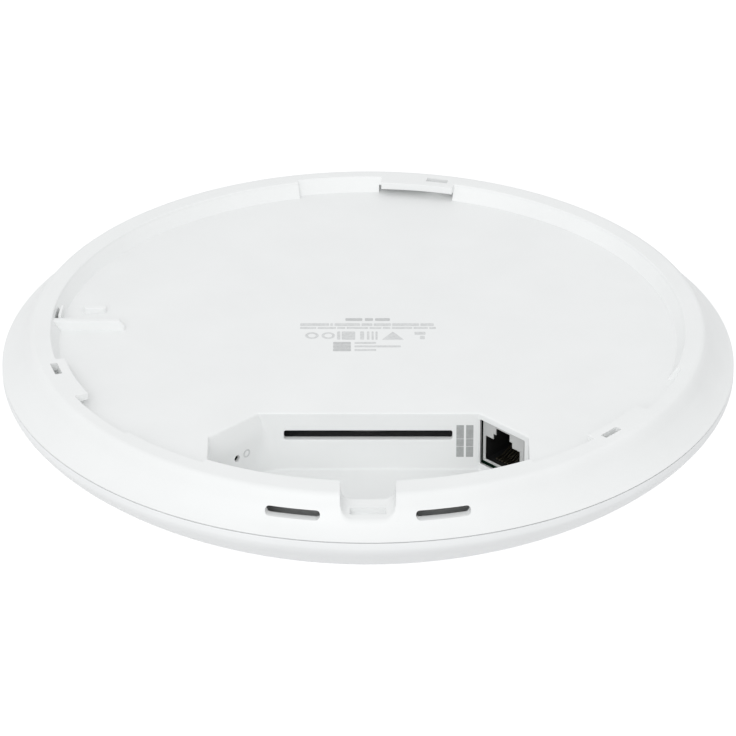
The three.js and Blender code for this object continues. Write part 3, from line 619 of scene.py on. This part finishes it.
def housing_shell():
    """The recess floor, its sloping wall, the rim, the flank and the tongue inside the seam."""
    foot = RECESS_RADIUS - WALL_LEAN
    rim = [(foot - 0.4, RECESS_Z), (foot - 0.05, RECESS_Z + 0.1), (foot + 0.15, RECESS_Z + 0.35)]
    rim += [(RECESS_RADIUS - 0.05, -0.75), (RECESS_RADIUS, -0.5)]
    rim += [(RECESS_RADIUS + 0.5 + x, -0.5 + z) for x, z in arc(0, 0, 0.5, 180, 90, 5)]
    seam_edge = [(OUTER_RADIUS, -9.86), (OUTER_RADIUS, SEAM_Z + 0.12), (OUTER_RADIUS - 0.12, SEAM_Z)]
    tongue = [(101.0, SEAM_Z), (100.3, SEAM_Z - 0.1), (100.3, SEAM_Z - 1.9)]
    tongue += [(99.3, SEAM_Z - 1.9), (99.3, -9.6)]
    under = [(97.4, -7.9), (95.4, -5.4), (94.1, -3.0), (93.4, -2.2), (91.2, -2.2), (91.2, RECESS_Z - WALL)]
    profile = [(0, RECESS_Z), *rim, *FLANK, *seam_edge, *tongue, *under, (0, RECESS_Z - WALL)]
    return turned("rear_housing_shell", profile, HOUSING)


def entry_cutter(from_angle, to_angle):
    """An entry notch down to the recess floor, its wall as sloped as the recess's."""
    steps = 16
    inner = arc(0, 0, CUTTER_INNER_RADIUS, from_angle, to_angle, steps)[::-1]
    foot = [(0, WALL_LEAN + 0.35), (0.1, WALL_LEAN), (0.4, WALL_LEAN - 0.25)]
    rings = []
    for rise, lean in (*foot, (-RECESS_Z, 0), (5, 0)):
        outer = arc(0, 0, ENTRY_RADIUS - lean, from_angle, to_angle, steps)
        rings.append([(x, y, RECESS_Z + 0.01 + rise) for x, y in outer + inner])
    return stacked("entry", rings)


def offset(outline, distance, z):
    """Moves a convex outline's points outwards along its corner normals."""
    points = [Vector((x, y)) for x, y, _ in outline]
    moved = []
    for i, point in enumerate(points):
        along = (points[(i + 1) % len(points)] - points[i - 1]).normalized()
        moved.append((point.x + along.y * distance, point.y - along.x * distance, z))
    return moved


def latch_cutter():
    """A shallow pocket in the notch's floor for a latch."""
    outline = [(x, y + LATCH_Y) for x, y in rounded_box_outline(4.9, 1.85, 0.6)]
    return prism("latch", outline, NOTCH_FLOOR_Z - 1.6, NOTCH_FLOOR_Z + 1)


def vent_cutter():
    """The bay's exhaust slot, its edges eased on the bay side."""
    ease = 0.35
    middle, half_width = (VENT_LEFT + VENT_RIGHT) / 2, (VENT_RIGHT - VENT_LEFT) / 2
    rings = []
    for y, grow in ((-1, ease), (0, ease), (0.12, 0.12), (ease, 0), (WALL + 1, 0)):
        outline = rounded_box_outline(half_width + grow, VENT_HEIGHT / 2 + grow, 0.6)
        rings.append([(middle + x, BAY_BACK_Y + y, VENT_Z + z) for x, z in outline])
    return stacked("vent_slot", rings)


def window_cutter():
    """The jack's window, undercut to the left and below behind a thin lip."""
    left, right = JACK_OFFSET - 8.45, JACK_OFFSET + 8.3
    low, high = JACK_BOTTOM_Z - 1.1, -6.3
    ease, undercut = 0.2, 0.8
    lip = [(-1, ease, 0), (0, ease, 0), (ease, 0, 0)]
    rings = []
    for y, grow, deeper in (*lip, (0.4, 0, undercut), (WALL + 1, 0, undercut)):
        x0, z0 = left - deeper, low - deeper
        outline = rounded_box_outline((right - x0) / 2 + grow, (high - z0) / 2 + grow, 0.4)
        rings.append([((x0 + right) / 2 + x, y, (z0 + high) / 2 + z) for x, z in outline])
    return stacked("jack_window", rings)


def guide_rib():
    """Raised rib beside the bracket's release, its inner end sloping down to the recess floor."""
    wall_x, inner_x, middle_y, half_width = -89.6, -69.4, 4.2, 0.9
    slope, top_z = 1.6, -1.1
    inner_end = arc(inner_x, middle_y, half_width, -90, 90, 8)
    foot = [(wall_x, middle_y - half_width), *inner_end, (wall_x, middle_y + half_width)]
    top = [(x - slope if x > wall_x else x, y) for x, y in foot]
    levels = ((foot, RECESS_Z - 0.4), (foot, RECESS_Z + 1.2), (top, top_z))
    rings = [[(x, y, z) for x, y in outline] for outline, z in levels]
    return soften(stacked("guide_rib", rings), 0.2, 2)


def stop_pill():
    """A short rounded stop on the recess floor, beside the rib."""
    middle_x, middle_y, height = -77.5, 14.7, 1.8
    outline = [(middle_x + x, middle_y + y) for x, y in slot_outline(6.6, 2.6)]
    return soften(prism("stop_pill", outline, RECESS_Z - 0.4, RECESS_Z + height), 0.4, 3)


def bosses():
    """Four hollow bosses that carry the board, and three posts for the heat sink."""
    root_z = RECESS_Z - WALL + 0.4
    made = []
    for x, y in ((68, -30), (-68, -30), (50, 56), (-50, 56)):
        boss = prism("boss", circle(x, y, 3.5, 48), -19.7, root_z)
        hole = prism("boss_hole", circle(x, y, 1.5, 24), -21, -11)
        made.append(boolean(boss, [hole], "DIFFERENCE"))
    for x, y in ((-30, 3), (30, 3), (-30, -34)):
        made.append(prism("post", circle(x, y, 3, 48), -7.7, root_z))
    return made


def catches():
    """Lugs inside the flank that the cover's hooks catch."""
    made = []
    for angle in CATCH_ANGLES:
        stem = block("stem", 89.5, 91.5, -5, 5, -9.6, -5.6)
        lug = block("lug", 90.5, 93.6, -4.9, 4.9, -9.5, -8.2)
        made.append(turn(boolean(stem, [lug], "UNION"), angle))
    return made


def tab_span(middle):
    return middle - TAB_HALF_ANGLE, middle + TAB_HALF_ANGLE


def linings():
    """Thicker walls behind the entries and round the notch, and the port bay's shell."""
    made = []
    for middle in TAB_ANGLES:
        start, end = tab_span(middle)
        made.append(sector("lining", 89.6, 94.6, start - 1.5, end + ENTRY_ANGLE + 1.5, -6.8, -1.0))
    made.append(block("notch_lining", -11.4, 11.4, -98.2, -89.8, -8.4, -1.6))
    made.append(block("notch_floor", -9.6, 9.6, -90.2, -85.6, -8.4, RECESS_Z - 0.3))
    made.append(stacked("bay_shell", [
        offset(bay_outline(max(z, BAY_FLOOR_Z + 1)), WALL, z)
        for z in (BAY_FLOOR_Z - WALL, -16.0, -10.0, RECESS_Z - 0.6)
    ]))
    return made


def tabs():
    """The three bayonet tabs, and the ledge of rim along the port bay."""
    made = []
    for middle in TAB_ANGLES:
        start, end = tab_span(middle)
        tab = sector("tab", RECESS_RADIUS - TAB_REACH, 90.4, start, end, -TAB_THICKNESS, -0.005)
        made.append(soften(tab, 0.3, 3))
    half_arc = math.degrees(math.asin(BAY_HALF_WIDTH / BAY_FRONT_RADIUS))
    floor_z = RECESS_Z - 0.6
    ledge = sector("bay_ledge", BAY_FRONT_RADIUS, 89.7, -90 - half_arc, -90 + half_arc, floor_z, -0.005)
    made.append(soften(ledge, 0.35, 3))
    return made


def tab_cutters():
    """The groove under each tab, and its tooling hole."""
    made = []
    for middle in TAB_ANGLES:
        start, end = tab_span(middle)
        groove = (CUTTER_INNER_RADIUS, GROOVE_RADIUS, start, end + 0.5)
        made.append(sector("groove", *groove, RECESS_Z + 0.01, -TAB_THICKNESS))
        hole_arc = [start + further for further in TOOL_HOLE_ARC]
        made.append(sector("tool_hole", *TOOL_HOLE_RADII, *hole_arc, -3.2, 1))
    return made


def build_rear_housing():
    tab_ends = [tab_span(middle)[1] for middle in TAB_ANGLES]
    housing = housing_shell()
    boolean(housing, linings(), "UNION")
    boolean(housing, [entry_cutter(end, end + ENTRY_ANGLE) for end in tab_ends], "DIFFERENCE")
    boolean(housing, tabs(), "UNION")
    boolean(housing, tab_cutters(), "DIFFERENCE")
    boolean(housing, [bay_cutter(), notch_cutter(), latch_cutter()], "DIFFERENCE")
    boolean(housing, [
        side_vent_cutter(1),
        side_vent_cutter(-1),
        vent_cutter(),
        to_chamfer(window_cutter(), 1),
        to_chamfer(pin_hole_cutter(), -1),
        sector("detent_slot", *DETENT_SLOT, *DETENT_ARC, RECESS_Z - WALL - 1, 1),
    ], "DIFFERENCE")
    leaf = soften(sector("detent_leaf", *DETENT_LEAF, *DETENT_ARC, RECESS_Z - 0.4, -0.5), 0.2, 2)
    boolean(housing, [leaf, guide_rib(), stop_pill(), *bosses(), *catches()], "UNION")
    flatten_shading(smooth(clean(housing)))
    housing.name = "rear_housing_moulding"
    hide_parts("rear_housing")
    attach(housing, "housing")


build_rear_housing()

# ---------------------------------------------------------------- front cover


def dome(radius, edge_radius, edge_z, lowest_z):
    """Height of the dome at a radius, on a curve fuller than an ellipse."""
    rise = (1 - np.minimum(radius / edge_radius, 1) ** 2) ** (1 / 1.45)
    return edge_z + (lowest_z - edge_z) * rise


def dome_line(start, edge_radius, lowest_z, steps):
    """The dome's profile from a starting radius out to its edge."""
    turns = np.linspace(math.asin(start / edge_radius), math.pi / 2, steps)
    radii = edge_radius * np.sin(turns)
    return list(zip(radii, dome(radii, edge_radius, SEAM_Z - 2.0, lowest_z)))


def build_front_cover():
    thickness, edge_round = 2.4, 0.2
    outside = dome_line(LENS_HOLE_RADIUS, OUTER_RADIUS, APEX_Z, 90)
    edge = arc(OUTER_RADIUS - edge_round, COVER_TOP_Z - edge_round, edge_round, 0, 90, 4)
    inside = dome_line(LENS_HOLE_RADIUS, OUTER_RADIUS - thickness, APEX_Z + thickness, 50)
    profile = [*outside, *edge, (OUTER_RADIUS - thickness, COVER_TOP_Z), *reversed(inside)]
    cover = turned("front_cover_shell", profile, COVER)
    hooks = []  # sprung arms with a barb each, over the housing's catches
    for angle in CATCH_ANGLES:
        arm = block("arm", 94.4, 95.6, -4, 4, -19.6, -6.5)
        barb = block("barb", 92.2, 94.8, -3.9, 3.9, -7.9, -6.6)
        hooks.append(turn(boolean(arm, [barb], "UNION"), angle))
    boolean(cover, hooks, "UNION")
    smooth(clean(cover))
    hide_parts("front_cover")
    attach(cover, "housing")


build_front_cover()

# ---------------------------------------------------------------- finishes of the carried-over nodes

NODE_FINISHES = {
    "circuit_board": BOARD,
    "chip_resin": RESIN,
    "thermal_rubber": PAD,
    "aluminium": ALUMINIUM,
    "steel": STEEL,
    "brass": BRASS,
    "antenna_metal": BRONZE,
    "dark_plastic": BLACK,
    "clear_plastic": GUIDE,
}


def finish_of(name, slot):
    if name.startswith("jack_contact"):
        return SHADE_DIMMED_GOLD
    if name.startswith("fan_") and slot == "dark_plastic":
        return CHARCOAL
    return NODE_FINISHES.get(slot)


for row in frame["record"]["subparts"]:
    node = frame["nodes"][row["node"]]
    finish = finish_of(row["node"], row["material_slot"])
    if finish:
        node.data.materials.clear()
        node.data.materials.append(finish)
        smooth(node, 35)

# ---------------------------------------------------------------- Ethernet jack's shield


def along_y(name, outline, y0, y1):
    """A solid between two heights of y, from an (x, z) outline."""
    return stacked(name, [[(x, y, z) for x, z in outline] for y in (y0, y1)])


def box_outline(x0, x1, z0, z1):
    return [(x0, z0), (x1, z0), (x1, z1), (x0, z1)]


def plug_outline(grow):
    """The plug's opening: its body, with two narrower steps above it for its latch."""
    right = []
    foot = 0
    for half, top in ((6.4, 7.3), (3.5, 8.95), (2.5, 11.05)):
        low = JACK_MOUTH_Z + foot + (grow if foot else -grow)
        right += [(half + grow, low), (half + grow, JACK_MOUTH_Z + top + grow)]
        foot = top
    outline = right + [(-x, z) for x, z in reversed(right)]
    return [(JACK_MOUTH_OFFSET + x, z) for x, z in outline]


def build_jack_shield():
    """Folded sheet round the jack: an open-bottomed can with rolled edges."""
    left, right = JACK_OFFSET - JACK_HALF_WIDTH, JACK_OFFSET + JACK_HALF_WIDTH
    front, back, sheet = 0.5, 21.5, 0.4
    can = box_outline(left, right, JACK_BOTTOM_Z, JACK_TOP_Z)
    shield = soften(along_y("shield", can, front, back), 0.35, 3)
    hollow = box_outline(left + sheet, right - sheet, JACK_BOTTOM_Z - 1, JACK_TOP_Z - sheet)
    boolean(shield, [
        along_y("hollow", hollow, front + sheet, back - sheet),
        stacked("mouth", [
            [(x, y, z) for x, z in plug_outline(grow)]
            for y, grow in ((front - 1, 0.12), (front, 0.12), (front + 0.12, 0), (front + 2, 0))
        ]),
    ], "DIFFERENCE")
    shield.name = "jack_shield_sheet"
    shield.data.materials.append(STEEL)
    smooth(clean(to_chamfer(shield, 1)))
    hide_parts("jack_shield")
    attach(shield, "housing")


build_jack_shield()

# ---------------------------------------------------------------- printed marks, all generic


def printed(piece):
    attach(piece, "housing")


def floor_print(outline, material):
    """A flat shape printed on the recess floor."""
    printed(prism("floor_print", outline, RECESS_Z - 0.01, RECESS_Z + 0.02, material))


def floor_bar(x0, x1, y0, y1, material):
    radius = min(0.3, (y1 - y0) / 3, (x1 - x0) / 3)
    outline = rounded_box_outline((x1 - x0) / 2, (y1 - y0) / 2, radius, 3)
    floor_print([((x0 + x1) / 2 + x, (y0 + y1) / 2 + y) for x, y in outline], material)


def print_title():
    for x0, x1 in ((-6.4, -1.6), (-0.9, 1.4), (2.0, 6.2)):
        floor_bar(x0, x1, 9.1, 10.7, INK)


def print_lines():
    """Two full lines of plain bars of unlike lengths."""
    left, word_gap = -19.2, 0.35
    for y0, y1, lengths in (
        (6.1, 7.7, (8.2, 0.8, 7.3, 3.1, 4.9, 7.6, 3.8)),
        (4.4, 5.5, (4.6, 5.2, 2.3, 6.1, 3.4, 2.2, 5.8, 4.1, 1.9)),
    ):
        x = left
        for length in lengths:
            floor_bar(x, x + length, y0, y1, PALE_INK)
            x += length + word_gap


def print_shapes():
    """A row of plain shapes: two rings, a block, upright bars, a hill and a small block."""
    for x in (-15.8, -11.2):
        ring = turned("floor_print", [(1.9, 0), (1.9, 0.03), (1.1, 0.03), (1.1, 0)], PALE_INK, 40)
        ring.data.transform(Matrix.Translation((x * MM, 0.5 * MM, (RECESS_Z - 0.01) * MM)))
        printed(ring)
    for x0, x1 in ((-8.7, -7.8), (-7.4, -3.6), (-2.2, -1.1), (-0.3, 0.4), (1.0, 1.6), (2.1, 2.7)):
        floor_bar(x0, x1, -1.9, 2.9, PALE_INK)
    floor_print([(3.9, -1.9), (10.1, -1.9), (8.1, 1.2), (7.0, 2.8), (5.9, 1.2)], PALE_INK)
    floor_bar(13.1, 16.2, 1.0, 2.7, PALE_INK)
    floor_bar(14.6, 16.0, -1.6, 0.3, PALE_INK)


def print_footer():
    for i in range(3):
        floor_bar(-9.8, -4.8, -4.9 - 1.85 * i, -3.2 - 1.85 * i, INK)
    for y, x1 in ((-3.8, 2.3), (-5.8, 9.2), (-7.9, 2.3)):
        floor_bar(-3.8, x1, y - 0.55, y + 0.55, PALE_INK)


def print_bay_labels():
    """Two plain upright bars on the bay's back wall."""
    for x0, x1 in ((24.3, 26.35), (26.95, 28.95)):
        for z0, z1 in ((-18.15, -14.9), (-14.78, -12.5), (-12.38, -8.1)):
            printed(block("wall_label", x0, x1, BAY_BACK_Y - 0.02, BAY_BACK_Y + 0.01, z0, z1, LABEL_INK))


def print_reset_ring():
    """A ring printed beside the reset hole, on the leaning wall."""
    profile = [(1.25, -0.02), (1.25, 0.03), (0.75, 0.03), (0.75, -0.02)]
    ring = turned("reset_ring", profile, PALE_INK, 40)
    wall_shift = BAY_CORNER_DRAFT * math.sin(math.radians(45))
    ring.data.transform(Matrix.Rotation(math.radians(90), 4, "X"))
    place = Vector((RING_OFFSET, -wall_shift, RESET_Z + RING_RISE)) * MM
    ring.data.transform(Matrix.Translation(place))
    printed(to_chamfer(ring, -1))


print_title()
print_lines()
print_shapes()
print_footer()
print_bay_labels()
print_reset_ring()

# ---------------------------------------------------------------- stage and light


FLOOR_REACH = 60.0  # metres to each side
FLOOR_DROP = 1.3  # metres below the dome, clear of its shadow


def make_floor():
    mesh = bpy.data.meshes.new("floor")
    z = APEX_Z * MM - FLOOR_DROP
    corners = [(x * FLOOR_REACH, y * FLOOR_REACH, z) for x, y in ((-1, -1), (1, -1), (1, 1), (-1, 1))]
    mesh.from_pydata(corners, [], [(0, 1, 2, 3)])
    floor = bpy.data.objects.new("floor", mesh)
    bpy.context.scene.collection.objects.link(floor)
    n = Nodes("floor_paper")
    n.set(base_color=(0.97, 0.97, 0.97, 1), roughness=0.9)
    n.set(emission_color=(1, 1, 1, 1), emission_strength=0.25)
    mesh.materials.append(n.material)
    floor.visible_diffuse = False


def make_key_light():
    """A soft square light in front, to the left and above, aimed at the origin."""
    data = bpy.data.lights.new("key_softbox", "AREA")
    data.shape = "RECTANGLE"
    data.size = data.size_y = 1.2
    data.energy = 13
    lamp = bpy.data.objects.new("key_softbox", data)
    lamp.location = (-0.42, -1.75, 1.25)
    lamp.rotation_euler = (-lamp.location).to_track_quat("-Z", "Y").to_euler()
    bpy.context.scene.collection.objects.link(lamp)


def make_world():
    """A white tent round the object, dimmer below and a little dimmer to the right."""
    world = bpy.data.worlds.new("studio")
    world.use_nodes = True
    tree = world.node_tree
    direction = tree.nodes.new("ShaderNodeTexCoord")
    split = tree.nodes.new("ShaderNodeSeparateXYZ")
    height = tree.nodes.new("ShaderNodeMapRange")
    height.inputs["From Min"].default_value = -1
    ramp = tree.nodes.new("ShaderNodeValToRGB")
    low, high = ramp.color_ramp.elements
    low.position, low.color = 0.2, (0.74, 0.745, 0.75, 1)
    high.position, high.color = 0.45, (0.85, 0.855, 0.86, 1)
    tree.links.new(direction.outputs["Generated"], split.inputs["Vector"])
    tree.links.new(split.outputs["Z"], height.inputs["Value"])
    tree.links.new(height.outputs["Result"], ramp.inputs["Fac"])
    tree.links.new(ramp.outputs["Color"], tree.nodes["Background"].inputs["Color"])
    side = tree.nodes.new("ShaderNodeMapRange")
    side.inputs["From Min"].default_value = 0.1
    side.inputs["To Min"].default_value = 1.0
    side.inputs["To Max"].default_value = 0.94
    tree.links.new(split.outputs["X"], side.inputs["Value"])
    tree.links.new(side.outputs["Result"], tree.nodes["Background"].inputs["Strength"])
    bpy.context.scene.world = world


make_floor()
make_world()
make_key_light()
bpy.context.scene.view_settings.view_transform = "Standard"
